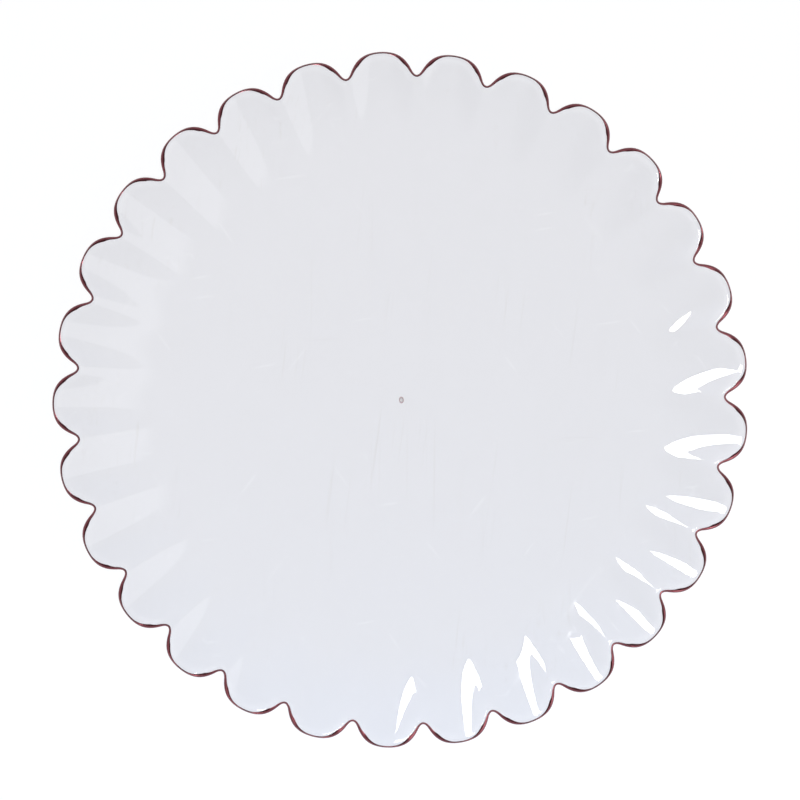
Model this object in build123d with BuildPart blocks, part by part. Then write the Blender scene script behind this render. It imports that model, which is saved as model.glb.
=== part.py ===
"""Scalloped dessert plate: a clear moulded plate with a fluted wall and a petal rim with a foil edge.

Millimetres, +Z up. The origin is on the table, under the middle of the well, and a petal points along +Y.
"""

import os
from math import degrees, hypot, pi

from build123d import *

# Plan of the rim
petal_count = 29
tip_radius = 99.9
notch_depth = 6.6
tip_rounding = 13.3
notch_rounding = 2.9

# Wall of the plate
wall = 1.3
well_radius = 68.0
tip_rise = 9.5
notch_rise = 9.7
flute_ridge_width = 4.6

# Foil on the rim's cut edge and in the gate dimple, and the thin bond line under it
foil = 0.12
bond = 0.03

# Gate dimple under the middle of the well
gate_length = 2.0
gate_width = 1.5
gate_depth = 0.45
gate_clearance = 0.05

# One flute is lofted from the middle of a petal, over the ridge at the notch, to the middle of the next petal
sections_per_half_petal = 9
hub_margin = 4.0

half_petal = pi / petal_count
notch_radius = tip_radius - notch_depth
hub_radius = well_radius - hub_margin / 2


def outline(share):
    """Plan radius of the rim's outer edge, from a petal's tip (share 0) to the notch beside it (share 1)."""
    bow = (tip_radius / tip_rounding - 1) * tip_radius * half_petal**2 / (2 * notch_depth)
    start = 1 - notch_rounding / 2 / (notch_radius * half_petal)
    flank = (1 - bow * start) / (2 * start**3 - start**4)
    if share < start:
        drop = bow * share**2 + flank * share**4
    else:
        slope = 2 * bow * start + 4 * flank * start**3
        drop = 1 - slope * (1 - share) ** 2 / (2 * (1 - start))
    return tip_radius - notch_depth * drop


def bend(share):
    """How fast the wall's inside bends up, with its change per share: the rise is this times the run squared."""
    at_tip = tip_rise / (tip_radius - well_radius) ** 2
    at_notch = notch_rise / (notch_radius - well_radius) ** 2
    trough = 1 - flute_ridge_width / 2 / (notch_radius * half_petal)
    if share < trough:
        wave = share**2 / trough
        change = 2 * share / trough
    else:
        wave = 1 - (1 - share) ** 2 / (1 - trough)
        change = 2 * (1 - share) / (1 - trough)
    return at_tip + (at_notch - at_tip) * wave, (at_notch - at_tip) * change


class RimSection:
    """Where a radial cut through the wall ends, at one share of a half petal."""

    def __init__(self, share):
        rate, change = bend(share)
        radius = outline(share)
        run = radius - well_radius
        outwards = 2 * rate * run
        sideways = change * run**2 / (half_petal * radius)
        steep = hypot(outwards, sideways)
        # The cut edge is square to the wall, so its inner side steps back along the steepest slope
        step = wall / hypot(1, steep)
        beside = min(share + step * sideways / (half_petal * radius), 1)
        self.inner_radius = outline(beside) - step * outwards
        self.inner_height = wall + rate * (self.inner_radius - well_radius) ** 2
        self.outer_radius = radius
        self.outer_height = wall + rate * run**2 - wall * hypot(1, steep)
        self.outer_knee = radius - self.outer_height / outwards


def flute_sections():
    """The planes and rim sections of one flute, from the middle of one petal to the middle of the next."""
    for step in range(-sections_per_half_petal, sections_per_half_petal + 1):
        share = 1 - abs(step) / sections_per_half_petal
        angle = 90 + degrees(half_petal) * (1 + step / sections_per_half_petal)
        yield Plane.XZ.rotated((0, 0, angle)), RimSection(share)


with BuildPart() as flute:
    for plane, rim in flute_sections():
        inner_knee = (well_radius + rim.inner_radius) / 2
        with BuildSketch(plane):
            with BuildLine():
                Line((hub_radius - hub_margin, wall), (well_radius, wall))
                Bezier((well_radius, wall), (inner_knee, wall), (rim.inner_radius, rim.inner_height))
                Line((rim.inner_radius, rim.inner_height), (rim.outer_radius, rim.outer_height))
                Bezier((rim.outer_radius, rim.outer_height), (rim.outer_knee, 0), (well_radius, 0))
                Line((well_radius, 0), (hub_radius - hub_margin, 0))
                Line((hub_radius - hub_margin, 0), (hub_radius - hub_margin, wall))
            make_face()
    loft()
    with BuildSketch():
        Circle(hub_radius)
    extrude(amount=wall, mode=Mode.SUBTRACT)

with BuildPart() as plate_body:
    with BuildSketch():
        Circle(hub_radius)
    extrude(amount=wall)
    with PolarLocations(0, petal_count):
        add(flute.part)
    with BuildSketch():
        Ellipse(gate_width / 2, gate_length / 2)
    extrude(amount=gate_depth, mode=Mode.SUBTRACT)

with BuildPart() as foil_flute:
    for plane, rim in flute_sections():
        inner_edge = Vector(rim.inner_radius, rim.inner_height)
        outer_edge = Vector(rim.outer_radius, rim.outer_height)
        lift = (outer_edge - inner_edge).normalized().rotate(Axis.Z, 90)
        with BuildSketch(plane):
            with BuildLine():
                Polyline(
                    inner_edge + lift * bond,
                    outer_edge + lift * bond,
                    outer_edge + lift * (bond + foil),
                    inner_edge + lift * (bond + foil),
                    close=True,
                )
            make_face()
    loft()

with BuildPart() as rim_foil:
    with PolarLocations(0, petal_count):
        add(foil_flute.part)

with BuildPart() as gate_foil_dot:
    with BuildSketch(Plane.XY.offset(gate_depth - bond - foil)):
        Ellipse(gate_width / 2 - gate_clearance, gate_length / 2 - gate_clearance)
    extrude(amount=foil)

os.makedirs("parts", exist_ok=True)
plate_body.part.label = "plate_body"
export_step(plate_body.part, "parts/plate_body.step")
rim_foil.part.label = "rim_foil"
export_step(rim_foil.part, "parts/rim_foil.step")
gate_foil_dot.part.label = "gate_foil_dot"
export_step(gate_foil_dot.part, "parts/gate_foil_dot.step")
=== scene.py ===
# %% [markdown]
# # A clear scalloped dessert plate
#
# The object is a moulded plate of clear plastic: a flat well, a fluted wall and a rim of rounded petals
# whose edge carries a thin rose metallic foil. The solids come packed in one frame, so the first step
# only loads them. Everything below is made in metres, where the frame says it is.

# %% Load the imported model
from math import cos, pi, radians, sin
from types import SimpleNamespace

import bmesh
import bpy
from mathutils import Euler, Matrix, Vector


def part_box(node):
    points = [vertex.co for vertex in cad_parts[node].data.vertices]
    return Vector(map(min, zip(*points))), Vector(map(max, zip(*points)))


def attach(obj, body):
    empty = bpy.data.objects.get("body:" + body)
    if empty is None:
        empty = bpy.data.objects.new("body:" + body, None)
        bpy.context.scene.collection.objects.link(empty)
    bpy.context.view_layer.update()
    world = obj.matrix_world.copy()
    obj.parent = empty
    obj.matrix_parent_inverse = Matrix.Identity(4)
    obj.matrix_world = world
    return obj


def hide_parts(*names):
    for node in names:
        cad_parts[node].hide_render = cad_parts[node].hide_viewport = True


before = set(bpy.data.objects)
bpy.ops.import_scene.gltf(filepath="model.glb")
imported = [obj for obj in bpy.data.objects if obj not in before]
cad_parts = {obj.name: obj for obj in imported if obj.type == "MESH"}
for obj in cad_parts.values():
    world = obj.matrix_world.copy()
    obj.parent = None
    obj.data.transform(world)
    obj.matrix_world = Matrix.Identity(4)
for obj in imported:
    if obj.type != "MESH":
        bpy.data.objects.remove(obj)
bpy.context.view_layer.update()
print("Nodes in the frame:", sorted(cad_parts))

# %% [markdown]
# ## A helper for node trees
#
# The plate's shape and its finishes are both written as formulas. Placing Math nodes one by one hides
# such a formula, so this small class wraps a socket and lets Python's own operators add the nodes. One
# method adds every other kind of node. The same class serves geometry trees and shader trees.

# %% Wires that add up
class Wire:
    """One socket of a node tree. Arithmetic on wires adds Math nodes, and node() adds any other node."""

    def __init__(self, tree, socket=None):
        self.tree = tree
        self.socket = socket

    def node(self, kind, settings, sockets, output=0):
        """Adds a node: its settings first, then the values or links of its sockets. Returns one output."""
        made = self.tree.nodes.new(kind)
        for name, value in settings.items():
            if name == "stops":
                set_stops(made.color_ramp, value)
            else:
                setattr(made, name, value)
        for name, value in sockets.items():
            if isinstance(value, Wire):
                self.tree.links.new(value.socket, made.inputs[name])
            else:
                made.inputs[name].default_value = value
        return Wire(self.tree, made.outputs[output])

    def math(self, operation, *values, clamp=False):
        settings = {"operation": operation, "use_clamp": clamp}
        return self.node("ShaderNodeMath", settings, dict(enumerate(values)))

    def __add__(self, other):
        return self.math("ADD", self, other)

    def __sub__(self, other):
        return self.math("SUBTRACT", self, other)

    def __rsub__(self, other):
        return self.math("SUBTRACT", other, self)

    def __mul__(self, other):
        return self.math("MULTIPLY", self, other)

    def __truediv__(self, other):
        return self.math("DIVIDE", self, other)

    def __rtruediv__(self, other):
        return self.math("DIVIDE", other, self)

    def __pow__(self, power):
        return self.math("POWER", self, power)

    def __lt__(self, other):
        return self.math("LESS_THAN", self, other)

    def __gt__(self, other):
        return self.math("GREATER_THAN", self, other)

    __radd__ = __add__
    __rmul__ = __mul__

    def size(self):
        return self.math("ABSOLUTE", self)

    def clamped(self):
        return self.math("ADD", self, 0, clamp=True)


def set_stops(ramp, stops):
    """Gives a colour ramp its stops, each a place from 0 to 1 and a brightness."""
    while len(ramp.elements) < len(stops):
        ramp.elements.new(1)
    for element, (place, level) in zip(ramp.elements, stops):
        element.position = place
        element.color = (level, level, level, 1)


def axes(vector):
    """The three components of a vector's wire."""
    return [vector.node("ShaderNodeSeparateXYZ", {}, {"Vector": vector}, axis) for axis in "XYZ"]


def either(condition, yes, no):
    """Yes where the condition is 1, and no where it is 0."""
    return condition * yes + (1 - condition) * no


print("Wires ready")

# %% [markdown]
# ## The plate's sizes
#
# A moulder cuts one petal into the tool and repeats it all the way round, so a handful of sizes describes
# the whole wall. They are the sizes of the solids in the frame, here in metres. A few more belong to the
# looks: how fast the wall and its flutes grow outwards, the lip that rolls off where the inside meets the
# rim's edge, the small round under it, and the edge's slight swell.

# %% Sizes in metres
plate_sizes = {
    "petals": 29,
    "tip_radius": 0.0999,
    "notch_depth": 0.0066,
    "tip_rounding": 0.0133,
    "notch_rounding": 0.0029,
    "wall": 0.0013,
    "well_radius": 0.068,
    "tip_rise": 0.0095,
    "notch_rise": 0.0097,
    "ridge_width": 0.0046,
    "wall_growth": 1.7,
    "flute_growth": 1.96,
    "lip_length": 0.0009,
    "lip_depth": 0.0004,
    "under_round": 0.00003,
    "edge_swell": 0.00005,
    "gate_length": 0.002,
    "gate_width": 0.0015,
    "gate_depth": 0.00045,
}
foil_sizes = {
    "foil": 0.00005,
    "bond": 0.00002,
    "lip_wrap": 0.14,
    "flank_wrap": 0.54,
}
columns_per_petal = 36
column_crowding = 1.6
lip_roll_off = 1.5

tip_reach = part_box("rim_foil")[1].y
print("Petal tip in the frame:", round(tip_reach, 5), "and in the sizes:", plate_sizes["tip_radius"])

# %% [markdown]
# ## The rule of the petal wall
#
# Every point of the wall follows from where it lies between a petal's middle and the notch beside it,
# here called its share. The outline is a round tip that runs into a tight notch. The wall bends up as a
# power of the distance from the well, and towards each notch a ridge grows on it, which is what makes the
# flutes. The wall could be drawn point by point, but a rule in Geometry Nodes keeps every petal alike and
# stays adjustable, so the formulas are written once here and used by both pieces that follow the rim.

# %% Formulas for the outline and the bend
def outline(size, share):
    """Plan radius of the rim's outer edge, from a petal's tip (share 0) to the notch beside it (share 1)."""
    notch_radius = size.tip_radius - size.notch_depth
    curl = size.tip_radius / size.tip_rounding - 1
    bow = curl * size.tip_radius * size.half_petal ** 2 / (2 * size.notch_depth)
    start = 1 - size.notch_rounding / 2 / (notch_radius * size.half_petal)
    flank = (1 - bow * start) / (2 * start ** 3 - start ** 4)
    slope = 2 * bow * start + 4 * flank * start ** 3
    petal_drop = bow * share ** 2 + flank * share ** 4
    notch_drop = 1 - slope * (1 - share) ** 2 / (2 * (1 - start))
    return size.tip_radius - size.notch_depth * either(share < start, petal_drop, notch_drop)


def flute(size, share):
    """The ridge's growth from 0 in a petal's middle to 1 at the notch, and its change per share."""
    notch_radius = size.tip_radius - size.notch_depth
    trough = 1 - size.ridge_width / 2 / (notch_radius * size.half_petal)
    in_trough = share < trough
    wave = either(in_trough, share ** 2 / trough, 1 - (1 - share) ** 2 / (1 - trough))
    change = either(in_trough, 2 * share / trough, 2 * (1 - share) / (1 - trough))
    return wave, change


def quarter_round(share):
    """How far a quarter circle has dropped and run at a share of its way, which is a wire or a number."""
    if isinstance(share, Wire):
        turn = share * (pi / 2)
        return 1 - turn.math("COSINE", turn), turn.math("SINE", turn)
    return 1 - cos(share * pi / 2), sin(share * pi / 2)


class PetalWall:
    """The wall along one radial cut: column runs from 0 to 1 all the way round the plate."""

    def __init__(self, size, column):
        self.size = size
        petal = column * size.petals
        whole = petal.math("FLOOR", petal)
        across = petal - whole
        # Columns crowd together towards the notch, where the outline is tightest
        self.share = 1 - (2 * across - 1).size() ** column_crowding
        first_half = across < 0.5
        self.side = 2 * first_half - 1
        turn = 2 * whole + either(first_half, self.share, 2 - self.share)
        angle = pi / 2 + turn * size.half_petal
        self.cosine = angle.math("COSINE", angle)
        self.sine = angle.math("SINE", angle)
        self.wave, self.change = flute(size, self.share)
        self.bend = size.tip_rise / (size.tip_radius - size.well_radius) ** size.wall_growth
        notch_run = size.tip_radius - size.notch_depth - size.well_radius
        ridge_rise = size.notch_rise - self.bend * notch_run ** size.wall_growth
        self.ridge = ridge_rise / notch_run ** size.flute_growth
        self.rim_radius = self.inner_edge()

    def slopes(self, radius):
        """The inside's rise at a plan radius, its slopes outwards and sideways, and its normal's length."""
        run = radius.math("MAXIMUM", radius - self.size.well_radius, 0)
        bend = self.bend * run ** self.size.wall_growth
        ridge = self.ridge * run ** self.size.flute_growth
        rise = bend + self.wave * ridge
        outwards = (self.size.wall_growth * bend + self.wave * self.size.flute_growth * ridge) / run
        sideways = self.side * self.change * ridge / (self.size.half_petal * radius)
        length = (1 + outwards ** 2 + sideways ** 2) ** 0.5
        return rise, outwards, sideways, length

    def inner_edge(self):
        """Plan radius where the inside ends, so that the edge can be square to the wall."""
        radius = outline(self.size, self.share)
        _, outwards, sideways, length = self.slopes(radius)
        beside = self.size.wall * sideways.size() / length / (self.size.half_petal * radius)
        nearby = self.share.math("MINIMUM", self.share + beside, 1)
        return outline(self.size, nearby) - self.size.wall * outwards / length

    def point(self, radius, depth, reach):
        """A place under the inside surface by a depth, and past it by a reach along the wall."""
        rise, outwards, sideways, length = self.slopes(radius)
        along = reach / (1 + outwards ** 2) ** 0.5
        out = radius + outwards * depth / length + along
        aside = sideways * depth / length
        height = self.size.wall + rise - depth / length + along * outwards
        place = {
            "X": out * self.cosine - aside * self.sine,
            "Y": out * self.sine + aside * self.cosine,
            "Z": height,
        }
        return height.node("ShaderNodeCombineXYZ", {}, place)

    def edge(self, over_lip, down_edge, round_under):
        """Depth and reach on the edge, from shares of the way over its lip, down it and round under it."""
        size = self.size
        under_drop, under_run = quarter_round(round_under)
        straight = size.wall - size.lip_depth - size.under_round
        lip_drop = size.lip_depth * over_lip ** lip_roll_off
        depth = lip_drop + straight * down_edge + size.under_round * under_run
        swell = size.edge_swell * 4 * down_edge * (1 - down_edge)
        reach = size.lip_length * over_lip + swell - size.under_round * under_drop
        return depth, reach

    def lip_radius(self):
        """Plan radius where the lip begins."""
        _, outwards, _, _ = self.slopes(self.rim_radius)
        return self.rim_radius - self.size.lip_length / (1 + outwards ** 2) ** 0.5


print("Petal rule ready for", plate_sizes["petals"], "petals")

# %% [markdown]
# ## From a flat grid to a plain mesh
#
# A closed shell could be modelled as two skins and stitched, but a grid can simply be wrapped: its rows
# walk from the middle of the well over the edge and back underneath, and its columns go round. The tree
# moves each grid point to its place, merges the seam and the two middles, and sets the finish. The result
# is then copied out as a plain mesh, so that no modifier is left on the piece.

# %% Build and run a wrapping tree
def wrapping_tree(name, sizes):
    """A new tree with a named input for each size and one for the finish, and its wires by name."""
    tree = bpy.data.node_groups.new(name, "GeometryNodeTree")
    tree.interface.new_socket("Geometry", in_out="OUTPUT", socket_type="NodeSocketGeometry")
    for label in sizes:
        tree.interface.new_socket(label, in_out="INPUT", socket_type="NodeSocketFloat")
    tree.interface.new_socket("finish", in_out="INPUT", socket_type="NodeSocketMaterial")
    entry = tree.nodes.new("NodeGroupInput")
    wires = {label: Wire(tree, entry.outputs[label]) for label in [*sizes, "finish"]}
    wires["half_petal"] = pi / wires["petals"]
    return tree, SimpleNamespace(**wires)


def wrapping_grid(tree, rows, columns):
    """A flat grid, with its row number and its column from 0 to 1 as wires."""
    start = Wire(tree)
    counts = {"Size X": 1, "Size Y": 1, "Vertices X": rows + 1, "Vertices Y": columns + 1}
    grid = start.node("GeometryNodeMeshGrid", {}, counts)
    flat = start.node("GeometryNodeInputPosition", {}, {})
    across, around, _ = axes(flat)
    return grid, (across + 0.5) * rows, around + 0.5


merge_distance = 1e-6


def finish_tree(tree, grid, place, finish):
    """Moves the grid to its place, closes it and ends the tree."""
    shaped = grid.node("GeometryNodeSetPosition", {}, {"Geometry": grid, "Position": place})
    closed = grid.node("GeometryNodeMergeByDistance", {}, {"Geometry": shaped, "Distance": merge_distance})
    smooth = grid.node("GeometryNodeSetShadeSmooth", {}, {"Geometry": closed})
    real = grid.node("GeometryNodeRealizeInstances", {}, {"Geometry": smooth})
    painted = grid.node("GeometryNodeSetMaterial", {}, {"Geometry": real, "Material": finish})
    grid.node("NodeGroupOutput", {}, {"Geometry": painted}, slice(0))


def grown_piece(name, tree, values):
    """Runs a tree on an empty object and keeps the result as that object's plain mesh."""
    piece = bpy.data.objects.new(name, bpy.data.meshes.new(name))
    bpy.context.scene.collection.objects.link(piece)
    modifier = piece.modifiers.new("Wrap", "NODES")
    modifier.node_group = tree
    for item in tree.interface.items_tree:
        if item.in_out == "INPUT":
            modifier[item.identifier] = values[item.name]
    grown = piece.evaluated_get(bpy.context.evaluated_depsgraph_get())
    mesh = bpy.data.meshes.new_from_object(grown)
    piece.modifiers.clear()
    piece.data = mesh
    mesh.name = name
    measure(piece)
    return piece


def measure(piece):
    """Prints how many triangles a piece has, whether it is closed, and the volume that its faces hold."""
    shell = bmesh.new()
    shell.from_mesh(piece.data)
    triangles = sum(len(face.verts) - 2 for face in shell.faces)
    open_edges = sum(not edge.is_manifold for edge in shell.edges)
    volume = shell.calc_volume(signed=True) * 1e9
    shell.free()
    print(f"{piece.name}: {triangles} triangles, {open_edges} open edges, {volume:.1f} cubic millimetres")


def progress(row, start, count):
    """From 0 to 1 while the row goes through one stretch of the grid."""
    return row.math("DIVIDE", row - start, count, clamp=True)


print("Wrapping helpers ready")

# %% [markdown]
# ## Clear plastic
#
# The plate is crystal polystyrene: colourless, glossy, and a little scuffed where plates were stacked. A
# see-through effect could be faked with a transparent shader, but then the edges lose the bending and the
# inner reflections that make plastic look like plastic, so the shader refracts. The scuffs are stretched
# noise: long faint streaks that come in patches, and a few short pale scratches. Both dull the gloss a
# little, and a slow waviness keeps the highlights from being perfect.

# %% Clear plastic finish
def new_finish(name):
    """A new material with its Principled shader, and a wire to start its nodes from."""
    material = bpy.data.materials.new(name)
    material.use_nodes = True
    shader = material.node_tree.nodes["Principled BSDF"]
    return material, shader, Wire(material.node_tree)


def feed(shader, **wires):
    """Links wires to the shader's sockets, whose names are written with underscores."""
    for name, wire in wires.items():
        wire.tree.links.new(wire.socket, shader.inputs[name.replace("_", " ")])


def noise(place, scale, detail, stretch=(1, 1, 1), turn=0):
    """Noise from 0 to 1 over a place, stretched along axes that are turned by some degrees."""
    turned = place.node(
        "ShaderNodeVectorRotate", {"rotation_type": "Z_AXIS"}, {"Vector": place, "Angle": radians(turn)}
    )
    mapped = place.node("ShaderNodeMapping", {}, {"Vector": turned, "Scale": stretch})
    sockets = {"Vector": mapped, "Scale": scale, "Detail": detail}
    return place.node("ShaderNodeTexNoise", {}, sockets)


def ramp(value, *stops):
    return value.node("ShaderNodeValToRGB", {"stops": stops}, {"Fac": value})


def blend(share, first, second):
    """A colour that goes from the first to the second as the share goes from 0 to 1."""
    return share.node("ShaderNodeMix", {"data_type": "RGBA"}, {0: share, 6: first, 7: second}, 2)


polystyrene_ior = 1.57
clear_tint = (0.934, 0.934, 0.966, 1)
streak_tint = (0.62, 0.58, 0.52, 1)
scratch_tint = (0.97, 0.972, 1, 1)
streak_strength = 0.2
scratch_strength = 0.5
clear_roughness = 0.012
scuff_roughness = 0.2
wave_strength = 0.02
wave_height = 0.0002
# Scales of the patches that the streaks come in and of the waviness, and how long a scratch is drawn out
patch_scale = 30
wave_scale = 60
scratch_stretch = (1, 0.1, 1)
# Stops of the ramps that pick patches and scratches out of the noise, and the start and end of a streak's
patch_stops = (0.40, 0.12), (0.66, 1)
scratch_stops = (0.80, 0), (0.84, 1)
streak_start, streak_end = 0.67, 0.82
# Of each layer of streaks: how fine, its scale along a streak, its turn in degrees and how strong
streak_layers = ((1000, 0.02, 11, 1), (860, 0.012, 4, 0.8), (940, 0.03, 92, 0.35))
# Of each layer of scratches: how fine and its turn in degrees
scratch_layers = ((640, -32), (560, 41), (700, 84))


def clear_plastic():
    material, shader, start = new_finish("clear_plastic")
    shader.inputs["Transmission Weight"].default_value = 1.0
    shader.inputs["IOR"].default_value = polystyrene_ior
    place = start.node("ShaderNodeTexCoord", {}, {}, "Object")
    patches = ramp(noise(place, patch_scale, 2), *patch_stops)
    streaks = sum(
        ramp(noise(place, scale, 1, (1, length, 1), turn), (streak_start, 0), (streak_end, depth))
        for scale, length, turn, depth in streak_layers
    ).clamped() * patches
    scratches = sum(
        ramp(noise(place, scale, 0, scratch_stretch, turn), *scratch_stops)
        for scale, turn in scratch_layers
    ).clamped()
    streaked = blend(streaks * streak_strength, clear_tint, streak_tint)
    colour = blend(scratches * scratch_strength, streaked, scratch_tint)
    scuffs = (streaks + scratches).clamped()
    relief = {"Strength": wave_strength, "Distance": wave_height, "Height": noise(place, wave_scale, 2)}
    bump = start.node("ShaderNodeBump", {}, relief)
    feed(shader, Base_Color=colour, Roughness=clear_roughness + scuffs * scuff_roughness, Normal=bump)
    return material


plastic = clear_plastic()
print("Finish:", plastic.name, "with", len(plastic.node_tree.nodes), "nodes")

# %% [markdown]
# ## Rose foil
#
# The rim's line is hot-stamped foil: a metallic film of a deep rose, glossy, with the slight mottling and
# wear of a film that was rolled over a curved edge. A metal's colour is the colour of its reflections, so
# the base colour stays dark and the lamps bring out the pink.

# %% Rose foil finish
mottle_scale = 260
wear_scale = 900
wear_strength = 0.4
wear_stops = (0.60, 0), (0.72, 1)
mottle_strength = 0.05
mottle_height = 0.0001
mottle_roughness = 0.12


def rose_foil(name, light, dark, polish):
    """Foil between two shades, where a smaller polish value is a sharper mirror."""
    material, shader, start = new_finish(name)
    shader.inputs["Metallic"].default_value = 1.0
    place = start.node("ShaderNodeTexCoord", {}, {}, "Object")
    mottle = noise(place, mottle_scale, 3)
    worn = ramp(noise(place, wear_scale, 2), *wear_stops)
    colour = blend((mottle + worn * wear_strength).clamped(), (*light, 1), (*dark, 1))
    relief = {"Strength": mottle_strength, "Distance": mottle_height, "Height": mottle}
    bump = start.node("ShaderNodeBump", {}, relief)
    feed(shader, Base_Color=colour, Roughness=polish + mottle * mottle_roughness, Normal=bump)
    return material


rim_rose = rose_foil(
    "rim_rose_foil", light=(0.21, 0.060, 0.071), dark=(0.135, 0.040, 0.048), polish=0.12
)
print("Finish:", rim_rose.name, "with", len(rim_rose.node_tree.nodes), "nodes")

# %% [markdown]
# ## The plate
#
# The plate is the main piece, and its shape is the petal rule itself. The grid's rows cross the well,
# climb the inside of the wall, go round the edge, come back under the wall and under the well, and end in
# the small gate dimple, where the plastic entered the mould.

# %% Plate body
well_rows = 4
wall_rows = 34
lip_rows = 8
edge_rows = 6
under_rows = 2
dimple_rows = 1


def plate_tree():
    tree, size = wrapping_tree("Plate body", plate_sizes)
    edge_stretches = (lip_rows, edge_rows, under_rows)
    stretches = (well_rows, wall_rows, *edge_stretches, wall_rows, well_rows, dimple_rows, dimple_rows)
    columns = columns_per_petal * plate_sizes["petals"]
    grid, row, column = wrapping_grid(tree, sum(stretches), columns)
    walked = [progress(row, sum(stretches[:step]), count) for step, count in enumerate(stretches)]
    over_well, up_wall, *round_edge, down_wall, under_well, into_dimple, to_middle = walked
    wall = PetalWall(size, column)
    lip = wall.lip_radius()
    half_width = size.gate_width / 2
    half_length = size.gate_length / 2
    gate_radius = half_width * half_length / (
        (half_length * wall.cosine) ** 2 + (half_width * wall.sine) ** 2
    ) ** 0.5
    radius = (
        size.well_radius * over_well
        + (lip - size.well_radius) * (up_wall - down_wall)
        - (size.well_radius - gate_radius) * under_well
        - gate_radius * to_middle
    )
    depth, reach = wall.edge(*round_edge)
    place = wall.point(radius, depth - size.gate_depth * into_dimple, reach)
    finish_tree(tree, grid, place, size.finish)
    return tree


plate = grown_piece("plate_shell", plate_tree(), {**plate_sizes, "finish": plastic})

# %% [markdown]
# ## The rim foil
#
# The foil is a film that a hot roller pressed on the rim's edge. It could be a painted line, but it is a
# separate piece of the real object with an edge that catches light, so it is a thin closed band: its rows
# go over the outside of the film and back along its inside, a hair above the plastic. On the flanks of a
# petal the soft roller also reached over the lip, so there the band is wider.

# %% Rim foil
wrap_rows = 5
film_rows = 8
flank_start, flank_middle, flank_end = 0.15, 0.6, 0.85


def flank(share):
    """From 0 at a petal's tip up to 1 on its flank, and back to 0 before the notch."""
    rising = progress(share, flank_start, flank_middle - flank_start)
    falling = progress(share, flank_end, flank_middle - flank_end)
    return rising * falling


def foil_tree():
    tree, size = wrapping_tree("Rim foil", {**plate_sizes, **foil_sizes})
    columns = columns_per_petal * plate_sizes["petals"]
    last = wrap_rows + film_rows
    grid, row, column = wrapping_grid(tree, 2 * last + 2, columns)
    along = last * (progress(row, 0, last) - progress(row, last + 1, last))
    outside = (row < last + 0.5) + (row > 2 * last + 1.5)
    wall = PetalWall(size, column)
    wrapped = size.lip_wrap + size.flank_wrap * flank(wall.share) ** 2
    over_lip = 1 - wrapped * (1 - progress(along, 0, wrap_rows))
    depth, reach = wall.edge(over_lip, progress(along, wrap_rows, film_rows), 0)
    lift = size.bond + size.foil * outside
    above = lift * (1 - progress(along, wrap_rows, 1))
    beyond = lift * progress(along, wrap_rows - 1, 1)
    place = wall.point(wall.lip_radius(), depth - above, reach + beyond)
    finish_tree(tree, grid, place, size.finish)
    return tree


foil_band = grown_piece("rim_foil_band", foil_tree(), {**plate_sizes, **foil_sizes, "finish": rim_rose})

# %% [markdown]
# ## The gate dot
#
# Under the middle of the well lies the spot where the plastic entered the mould, with a dab of the same
# foil. It is a tiny oval dish, and a few rings of points are enough for it. Its foil is given much lighter
# shades than the rim's, as painted light for the lamps that don't reach it under the plastic, and towards
# its middle it is made partly see-through, so that the glowing floor shows through and lightens it there.

# %% Gate dot
# Where the see-through middle ends and the full foil begins, on the way out, and how much each covers.
# Through the middle the glowing floor lightens the dot, as painted light
cover_stops = (0.45, 0.22), (0.85, 0.6)


def lightened_see_through_dot_foil():
    """The rim's foil in lighter shades as painted light, and see-through in the middle so that the glowing
    floor lightens it.
    """
    # These shades are far lighter than the rim's: painted light for the lamps that don't reach the dot under
    # the plastic
    material = rose_foil("dot_foil_painted_lighter", light=(0.80, 0.52, 0.55), dark=(0.62, 0.38, 0.41), polish=0.4)
    start = Wire(material.node_tree)
    place = start.node("ShaderNodeTexCoord", {}, {}, "Object")
    across, along, _ = axes(place)
    across /= plate_sizes["gate_width"] / 2
    along /= plate_sizes["gate_length"] / 2
    cover = ramp((across ** 2 + along ** 2) ** 0.5, *cover_stops)
    feed(material.node_tree.nodes["Principled BSDF"], Alpha=cover)
    return material


dot_rose = lightened_see_through_dot_foil()
# Of each ring: its share of the oval's half width and its share of the foil's thickness
dot_rings = ((0.0, 0.55), (0.45, 0.5), (0.7, 0.75), (0.86, 1.0), (1.0, 0.8), (1.0, 0.0), (0.0, 0.0))
dot_sides = 48


def gate_dot():
    low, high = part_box("gate_foil_dot")
    half_width, half_length, thickness = high.x, high.y, high.z - low.z
    shell = bmesh.new()
    rings = []
    for share, level in dot_rings:
        height = low.z + thickness * level
        turns = [2 * pi * side / dot_sides for side in range(dot_sides if share else 1)]
        places = [(half_width * share * cos(turn), half_length * share * sin(turn), height) for turn in turns]
        rings.append([shell.verts.new(place) for place in places])
    for inner, outer in zip(rings, rings[1:]):
        for side in range(dot_sides):
            here, after = side, (side + 1) % dot_sides
            corners = [inner[here % len(inner)], outer[here % len(outer)]]
            corners += [outer[after % len(outer)], inner[after % len(inner)]]
            shell.faces.new(list(dict.fromkeys(corners)))
    for face in shell.faces:
        face.smooth = True
    piece = bpy.data.objects.new("gate_dot", bpy.data.meshes.new("gate_dot"))
    shell.to_mesh(piece.data)
    shell.free()
    piece.data.materials.append(dot_rose)
    bpy.context.scene.collection.objects.link(piece)
    measure(piece)
    return piece


dot = gate_dot()

# %% [markdown]
# ## Joining the frame
#
# Nothing on a plate moves, so every piece rides on the one body. Each stands for the plain solid of the
# same part.

# %% Ride and replace
sharp_angle = radians(50)

for piece, node, slot in (
    (plate, "plate_body", "clear_plastic"),
    (foil_band, "rim_foil", "rose_foil"),
    (dot, "gate_foil_dot", "rose_foil"),
):
    piece.data.set_sharp_from_angle(angle=sharp_angle)
    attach(piece, "root")
    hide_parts(node)
    print(piece.name, "stands for", node)

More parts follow.
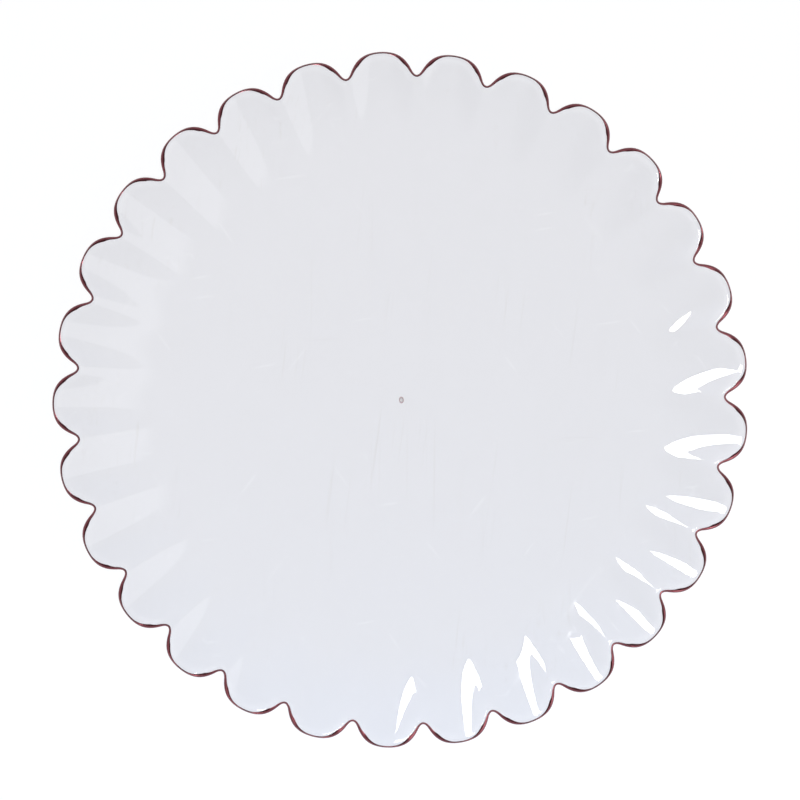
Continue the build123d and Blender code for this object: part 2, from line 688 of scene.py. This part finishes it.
# %% [markdown]
# ## The studio
#
# Clear plastic shows what is around it, so the studio matters as much as the finish. The floor is pale
# and partly glows for rays that the viewer sees, straight, mirrored or through the plastic: that keeps it
# white and still leaves it a shadow. The overhead lamp lights only the floor, and a cool fill tints the
# floor in front. A key softbox at the upper left makes the sharp highlights on the wall. Two cards at the
# lower right reach the foil alone and bring out its pink. The room around is a calm grey, cooler at the
# back and darker on the left, and a pale sector on its right lightens the flutes that face it.

# %% Floor
floor_size = 3.0
floor_gap = 0.0002
floor_glow = 0.82
floor_grey = (0.92, 0.92, 0.92, 1)


def pale_floor():
    corners = [(x * floor_size, y * floor_size, -floor_gap) for x, y in ((-1, -1), (1, -1), (1, 1), (-1, 1))]
    mesh = bpy.data.meshes.new("floor")
    mesh.from_pydata(corners, [], [(0, 1, 2, 3)])
    floor = bpy.data.objects.new("floor", mesh)
    bpy.context.scene.collection.objects.link(floor)
    material = bpy.data.materials.new("pale_floor")
    material.use_nodes = True
    material.node_tree.nodes.clear()
    start = Wire(material.node_tree)
    seen = [start.node("ShaderNodeLightPath", {}, {}, ray) for ray in
            ("Is Camera Ray", "Is Glossy Ray", "Is Transmission Ray")]
    viewed = (seen[0] + seen[1] + seen[2]).clamped()
    matt = start.node("ShaderNodeBsdfDiffuse", {}, {"Color": floor_grey})
    glow = start.node("ShaderNodeEmission", {}, {"Color": (1, 1, 1, 1), "Strength": 1.0})
    both = start.node("ShaderNodeMixShader", {}, {0: viewed * floor_glow, 1: matt, 2: glow})
    start.node("ShaderNodeOutputMaterial", {}, {"Surface": both}, slice(0))
    mesh.materials.append(material)
    return floor


floor = pale_floor()
print("Floor:", 2 * floor_size, "metres wide")

# %% Lamps
def softbox(name, azimuth, elevation, distance, width, height, brightness, roll=0, colour=(1, 1, 1)):
    """A rectangular lamp that faces the plate. Its brightness is what it looks like, where 1 is white."""
    lamp = bpy.data.lights.new(name, "AREA")
    lamp.shape = "RECTANGLE"
    lamp.size = width
    lamp.size_y = height
    lamp.energy = brightness * pi * width * height
    lamp.color = colour
    level = distance * cos(radians(elevation))
    aside, ahead = level * cos(radians(azimuth)), level * sin(radians(azimuth))
    place = Vector((aside, ahead, distance * sin(radians(elevation))))
    stand = bpy.data.objects.new(name, lamp)
    turn = place.to_track_quat("Z", "Y").to_matrix() @ Matrix.Rotation(radians(roll), 3, "Z")
    stand.matrix_world = Matrix.LocRotScale(place, turn.to_quaternion(), None)
    stand.visible_camera = False
    bpy.context.scene.collection.objects.link(stand)
    print(f"{name}: {lamp.energy:.2f} watts at {[round(x, 3) for x in place]}")
    return stand


def for_floor(stand):
    """Keeps a lamp out of every reflection, so that it lights only what is matt."""
    stand.visible_glossy = False
    stand.visible_transmission = False


def only_for(stand, target):
    """Lets a lamp reach one object alone."""
    reached = bpy.data.collections.new(f"reached_by_{stand.name}")
    reached.objects.link(target)
    stand.light_linking.receiver_collection = reached


def for_reflections(stand):
    """Keeps a lamp off the floor and out of the bounces inside the plastic, for outer gloss alone."""
    stand.visible_diffuse = False
    stand.visible_transmission = False


for_floor(softbox("overhead", azimuth=90, elevation=90, distance=2.0, width=0.6, height=0.6, brightness=28))
cool_fill = softbox("cool_fill", azimuth=-92, elevation=15, distance=0.2, width=0.3, height=0.06,
                    brightness=6.2, colour=(0.2, 0.52, 1.0))
cool_fill.data.use_shadow = False
only_for(cool_fill, floor)
for_reflections(softbox("key_softbox", azimuth=136.3, elevation=52.5, distance=2.0, width=0.67, height=0.76,
                        brightness=18, roll=-30.7))
rose_card = softbox("rose_card", azimuth=-45, elevation=13, distance=0.2, width=0.24, height=0.09,
                    brightness=8)
only_for(rose_card, foil_band)
rose_strip = softbox("rose_strip", azimuth=-45, elevation=67, distance=0.109, width=0.17, height=0.05,
                     brightness=2.4)
only_for(rose_strip, foil_band)

# %% World
room_grey = (0.30, 0.30, 0.30, 1)
left_shade = (0.06, 0.06, 0.06, 1)
back_wall = (0.25, 0.27, 0.32, 1)
card_grey = (0.69, 0.69, 0.69, 1)
card_from, card_to = radians(-50), radians(10)
# Stops of the ramps that end the card at its sides and its top, and that bring in the back and the left
card_side_stops = (0.0, 0), (0.03, 1)
card_top_stops = (0.93, 1), (0.985, 0)
back_stops = (0.1, 0), (0.5, 1)
left_stops = (0.2, 0), (0.6, 1)


def studio_world():
    world = bpy.data.worlds.new("studio")
    bpy.context.scene.world = world
    world.use_nodes = True
    back = world.node_tree.nodes["Background"]
    start = Wire(world.node_tree)
    direction = start.node("ShaderNodeTexCoord", {}, {}, "Generated")
    right, front, up = axes(direction)
    after_start = ramp(front * cos(card_from) - right * sin(card_from), *card_side_stops)
    before_end = ramp(right * sin(card_to) - front * cos(card_to), *card_side_stops)
    card = after_start * before_end * ramp(up, *card_top_stops)
    behind = ramp(front, *back_stops)
    sides = blend(ramp(0 - right, *left_stops), room_grey, left_shade)
    colour = blend(card, blend(behind, sides, back_wall), card_grey)
    world.node_tree.links.new(colour.socket, back.inputs["Color"])


studio_world()
print("World:", bpy.context.scene.world.name)

# %% [markdown]
# ## The camera
#
# The plate is seen from straight above, about 55 centimetres away, with the slight lean that a camera on
# a tripod has. The lean and the turn come from matching the petals' tips and notches.

# %% Camera
camera_angle = radians(24)
camera_height = 0.5492
camera_lean = (radians(0.67), radians(1.56), radians(3.68))
camera_aside = Vector((0.00038, 0.00001, 0))


def overhead_camera():
    lens = bpy.data.cameras.new("camera")
    lens.angle = camera_angle
    camera = bpy.data.objects.new("camera", lens)
    bpy.context.scene.collection.objects.link(camera)
    turn = Euler([-lean for lean in camera_lean], "XYZ")
    camera.rotation_euler = turn
    camera.location = turn.to_matrix() @ (Vector((0, 0, camera_height)) - camera_aside)
    bpy.context.scene.camera = camera
    return camera


camera = overhead_camera()
bpy.context.scene.view_settings.view_transform = "Standard"
print("Camera at", [round(x, 4) for x in camera.location])
